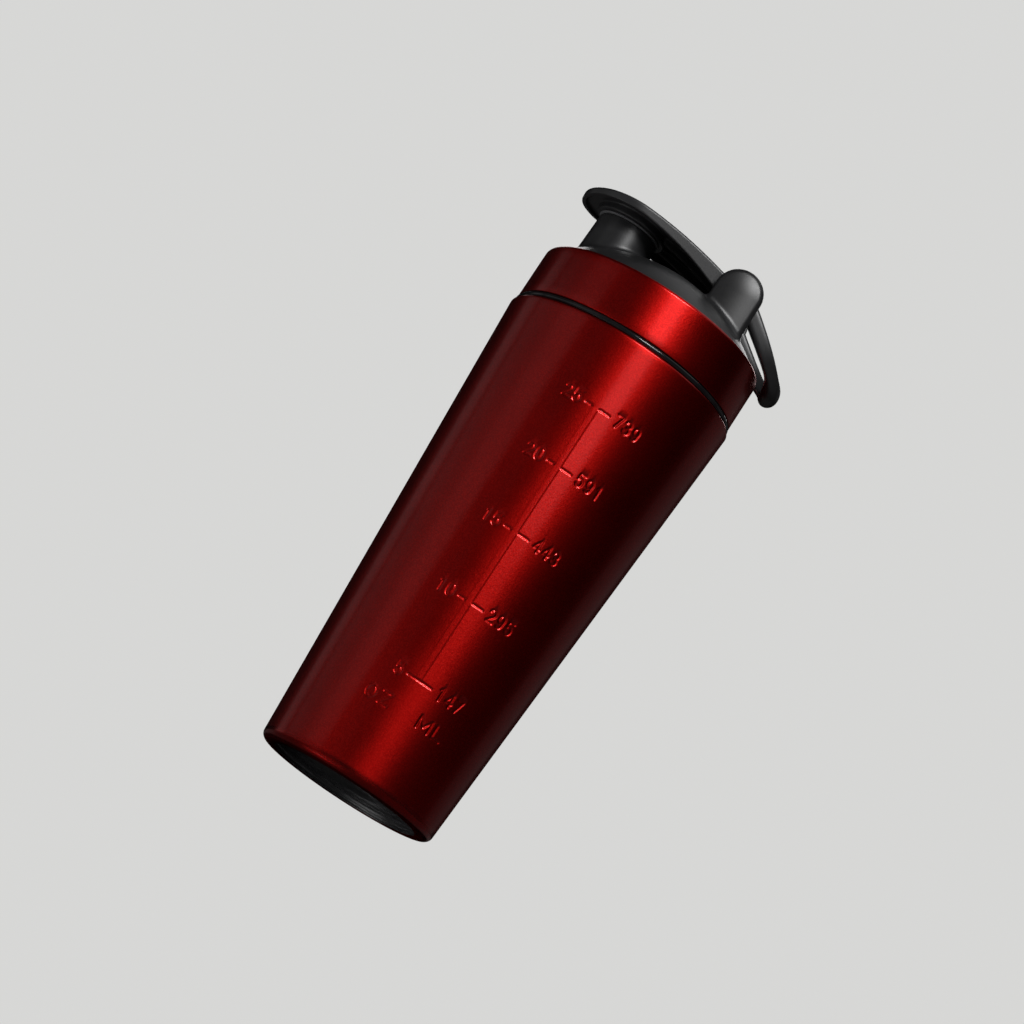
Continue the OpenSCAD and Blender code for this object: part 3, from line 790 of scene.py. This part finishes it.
def add_turned(name, body, slot, replaced, outline, x=0.0, sides=256, poles=None):
    """An outline of radius and height, in millimetres, turned about an upright axis at x. It is a closed
    loop, or it starts and ends on the axis at the two heights in poles."""
    ring = np.array(outline)
    turns = np.linspace(0, 2 * pi, sides, endpoint=False)
    points = np.stack([x + ring[:, :1] * np.cos(turns), ring[:, :1] * np.sin(turns),
                       np.repeat(ring[:, 1:], sides, 1)], -1).reshape(-1, 3)
    faces = ring_faces(len(ring), sides, poles is None)
    if poles is not None:
        start, last = len(points), (len(ring) - 1) * sides
        points = np.concatenate([points, [(x, 0, z) for z in poles]])
        faces += [(start, (t + 1) % sides, t) for t in range(sides)]
        faces += [(last + t, last + (t + 1) % sides, start + 1) for t in range(sides)]
    piece = add_piece(name, body, points * MM, faces, [MATERIALS[slot]])
    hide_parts(replaced)


def add_band():
    """Steel sleeve round the lid, its top edge rolled in and its bottom edge hemmed."""
    lip = 1.65
    outline = round_arc(BAND_R - 0.3, BAND_BOTTOM + 0.3, 0.3, 180, 360)
    outline += [(BAND_R, BAND_BOTTOM + 3), (BAND_R, BAND_BOTTOM + 10), (BAND_R, BAND_TOP - lip - 2)]
    outline += round_arc(BAND_R - lip, BAND_TOP - lip, lip, 0, 90, 12)
    outline += round_arc(BAND_R - lip, BAND_TOP - lip, lip - SHEET, 90, 0, 8)
    outline += [(BAND_R - SHEET, BAND_BOTTOM + 3)]
    add_turned("band_sleeve", "lid", "red_lacquer", "lid_band", outline)


def add_ring():
    """Glossy ring on the shoulder with a half-round bead outside."""
    low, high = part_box("shoulder_ring")
    z0, z1, r1 = low[2] / MM, high[2] / MM, high[0] / MM
    bead, r0 = (z1 - z0) / 2, 40.6
    outline = round_arc(r1 - bead, z0 + bead, bead, -90, 90, 16)
    outline += round_arc(r0 + 0.3, z1 - 0.3, 0.3, 90, 180, 4)
    outline += round_arc(r0 + 0.3, z0 + 0.3, 0.3, 180, 270, 4)
    add_turned("bead_ring", "cup", "black_gloss_rubber", "shoulder_ring", outline)


def add_base_pan():
    """Stamped bottom pan with a raised ring, its rim turned down onto the foot's lip."""
    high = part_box("base_plate")[1]
    flange_r, top = high[0] / MM, high[2] / MM
    bend = 1.2
    rim_r = flange_r - 1.8
    bend_r, under = rim_r - SHEET - bend, top - SHEET
    dish = [(3, under + 0.35), (9, under + 0.35), (11, under), (20, under), (21, under + 0.45),
            (23, under + 0.45), (24, under)]
    outline = dish + round_arc(bend_r, under - bend, bend, 90, 0, 8)
    outline += [(rim_r - SHEET, SHEET + 0.05), (flange_r, SHEET + 0.05), (flange_r, 2 * SHEET)]
    outline += [(rim_r + 0.3, 2 * SHEET)] + round_arc(bend_r, under - bend, bend + SHEET, 0, 90, 8)
    outline += [(r, z + SHEET) for r, z in reversed(dish)]
    middle = dish[0][1]
    add_turned("base_pan", "cup", "bare_steel", "base_plate", outline, poles=(middle, middle + SHEET))


def add_stopper():
    """Silicone stopper: tapered plug with a sealing bead, flange and stud."""
    r0, flange, stud = SPOUT_R - SPOUT_T - 0.3, 12.4, 5.0
    low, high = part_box("spout_plug")
    z0, z1 = low[2] / MM, high[2] / MM
    outline = round_arc(r0 - 1.5, z0 + 0.7, 0.7, -90, -15, 5)
    outline += [(r0 - 0.45, SPOUT_TOP - 1.6)] + round_arc(r0 - 0.5, SPOUT_TOP - 1.0, 0.5, -70, 70, 6)
    outline += [(r0 - 0.3, BOSS_Z - 0.7)] + round_arc(flange - 0.3, BOSS_Z - 0.4, 0.3, -90, 0, 4)
    outline += round_arc(flange - 0.3, BOSS_Z - 0.3, 0.28, 0, 90, 4)
    outline += [(stud + 0.1, BOSS_Z - 0.02), (stud, BOSS_Z + 0.1)]
    outline += round_arc(stud - 0.5, z1 - 0.5, 0.5, 0, 90, 5)
    add_turned("stopper", "cap", "grey_silicone", "spout_plug", outline, SPOUT_X, 128, (z0, z1))


def add_ball():
    """Loose mixing ball: one round wire wound from pole to pole, its ends rounded off."""
    low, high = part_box("whisk_ball")
    radius, wire, tip = 25.0, 1.1, 0.55
    pole_gap, turns, sides = radians(14), 8, 14
    middle = (low[2] + high[2]) / 2 / MM
    t = np.linspace(0, 1, turns * 48 + 1)
    lat, lon = pole_gap + t * (pi - 2 * pole_gap), t * turns * 2 * pi
    line = radius * np.stack([np.sin(lat) * np.cos(lon), np.sin(lat) * np.sin(lon), np.cos(lat)], -1)
    ahead = np.gradient(line, axis=0)
    ahead /= np.linalg.norm(ahead, axis=1)[:, None]
    out = line - ahead * (line * ahead).sum(1)[:, None]
    out /= np.linalg.norm(out, axis=1)[:, None]
    side = np.cross(ahead, out)
    thick = np.full(len(t), wire)
    thick[[0, -1]] = wire * tip
    around = np.linspace(0, 2 * pi, sides, endpoint=False)
    ring = out[:, None] * np.cos(around)[:, None] + side[:, None] * np.sin(around)[:, None]
    points = ((line[:, None] + thick[:, None, None] * ring).reshape(-1, 3) + (0, 0, middle)) * MM
    faces = ring_faces(len(t), sides, closed=False)
    faces += [list(range(sides))[::-1], [(len(t) - 1) * sides + j for j in range(sides)]]
    ball = add_piece("wire_ball", "ball", points, faces, [MATERIALS["bare_steel"]])
    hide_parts("whisk_ball")


def add_turned_pieces():
    """The pieces that are round about an axis, and the ball."""
    add_band()
    add_ring()
    add_base_pan()
    add_stopper()
    add_ball()


add_turned_pieces()


def dress_nodes():
    """Every CAD node that still shows gets its slot's material."""
    for subpart in frame["record"]["subparts"]:
        node = frame["nodes"][subpart["node"]]
        node.data.materials.clear()
        node.data.materials.append(MATERIALS[subpart["material_slot"]])


dress_nodes()


# ---------------------------------------------------------------- stage

STAND_OFF = 1.2
FLOOR_HALF, FLOOR_FADE = 6.0, (0.5, 1.6)
FLOOR_BOUNCE, FLOOR_GLOW = 0.12, 0.45
FLOOR_COLOUR, SKY_COLOUR = (0.72, 0.72, 0.71, 1), (0.68, 0.68, 0.67, 1)
DIM_LIGHT = 0.003
# Each softbox, as seen from the bottle: the azimuth of its middle from the camera's side, positive to the
# right, its elevation, its width and its height, all in degrees, and its power in watts
SOFTBOXES = (
    ("key_left", 5, 43, 6, 6, 2.3),
    ("key_middle", 12, 34, 6, 6, 2.4),
    ("key_right", 22, 38, 6, 6, 1.5),
    ("key_strip", 12, 17, 16, 24, 0.55),
    ("left_strip", -61, 5, 24, 30, 0.29),
    ("left_wide", -88, 5, 30, 30, 0.26),
    ("left_rim", -115, 5, 16, 30, 0.16),
    ("left_high", -60, 34, 30, 22, 0.15),
    ("right_rim", 128, 12, 40, 30, 0.10),
    ("back_top", 120, 68, 60, 24, 0.9),
    ("back_fill", 178, 36, 40, 14, 2.2),
    ("left_front", -35, 8, 22, 30, 0.04),
    ("low_left", -48, -42, 28, 16, 2.4),
)


def softbox(name, azimuth, elevation, width, height, power):
    """A rectangular light aimed at the middle of the bottle."""
    low, high = CAD_BOX
    target = Vector((0, 0, (low.z + high.z) / 2))
    a, e = radians(azimuth + CAMERA_TURN), radians(elevation)
    away = Vector((sin(a) * cos(e), -cos(a) * cos(e), sin(e)))
    light = bpy.data.objects.new(name, bpy.data.lights.new(name, "AREA"))
    light.data.shape = "RECTANGLE"
    light.data.size = 2 * STAND_OFF * tan(radians(width / 2))
    light.data.size_y = 2 * STAND_OFF * tan(radians(height / 2))
    light.data.energy = power
    light.location = target + away * STAND_OFF
    light.rotation_mode = "QUATERNION"
    light.rotation_quaternion = away.to_track_quat("Z", "Y")
    light.visible_camera = False
    bpy.context.scene.collection.objects.link(light)


def floor_material():
    """Pale paint that is lighter to the camera, clear from below and far out, and lets the lights through."""
    n = Nodes("floor")
    path = n.add("ShaderNodeLightPath").outputs
    seen = n.feed(n.add("ShaderNodeBsdfDiffuse"), Color=FLOOR_COLOUR)
    glow = n.feed(n.add("ShaderNodeEmission"), Color=FLOOR_COLOUR, Strength=FLOOR_GLOW)
    unseen = n.feed(n.add("ShaderNodeBsdfDiffuse"), Color=(FLOOR_BOUNCE, FLOOR_BOUNCE, FLOOR_BOUNCE, 1))
    lit = n.add("ShaderNodeAddShader")
    n.link(seen.outputs[0], lit.inputs[0])
    n.link(glow.outputs[0], lit.inputs[1])
    away = n.feed(n.add("ShaderNodeVectorMath", operation="LENGTH"), Vector=n.place)
    low, high = FLOOR_FADE
    fade = n.feed(n.add("ShaderNodeMapRange"), Value=away.outputs["Value"], From_Min=low, From_Max=high)
    hidden = n.math("MAXIMUM", n.add("ShaderNodeNewGeometry").outputs["Backfacing"], fade.outputs["Result"])
    clear_share = n.math("MAXIMUM", hidden, path["Is Shadow Ray"])
    surface = n.blend(path["Is Camera Ray"], unseen, lit)
    whole = n.blend(clear_share, surface, n.add("ShaderNodeBsdfTransparent"))
    n.link(whole.outputs["Shader"], n.tree.nodes["Material Output"].inputs["Surface"])
    return n.material


def add_floor():
    """Pale floor that is seen from above only, fades into the surroundings, and throws little light back."""
    mesh = bpy.data.meshes.new("floor")
    corners = [(x * FLOOR_HALF, y * FLOOR_HALF, 0) for x, y in ((-1, -1), (1, -1), (1, 1), (-1, 1))]
    mesh.from_pydata(corners, [], [(0, 1, 2, 3)])
    mesh.materials.append(floor_material())
    floor = bpy.data.objects.new("floor", mesh)
    bpy.context.scene.collection.objects.link(floor)


def add_world():
    """Pale surroundings for the eye, and a dim even light for the object."""
    world = bpy.data.worlds.new("studio")
    bpy.context.scene.world = world
    world.use_nodes = True
    tree = world.node_tree
    seen = tree.nodes["Background"]
    seen.inputs["Color"].default_value = SKY_COLOUR
    dim = tree.nodes.new("ShaderNodeBackground")
    dim.inputs["Color"].default_value = (DIM_LIGHT, DIM_LIGHT, DIM_LIGHT, 1)
    path = tree.nodes.new("ShaderNodeLightPath")
    mix = tree.nodes.new("ShaderNodeMixShader")
    tree.links.new(path.outputs["Is Camera Ray"], mix.inputs["Fac"])
    tree.links.new(dim.outputs["Background"], mix.inputs[1])
    tree.links.new(seen.outputs["Background"], mix.inputs[2])
    tree.links.new(mix.outputs["Shader"], tree.nodes["World Output"].inputs["Surface"])


def add_stage():
    """Floor, surroundings and lights."""
    add_floor()
    add_world()
    for row in SOFTBOXES:
        softbox(*row)
    bpy.context.scene.view_settings.view_transform = "Standard"


add_stage()
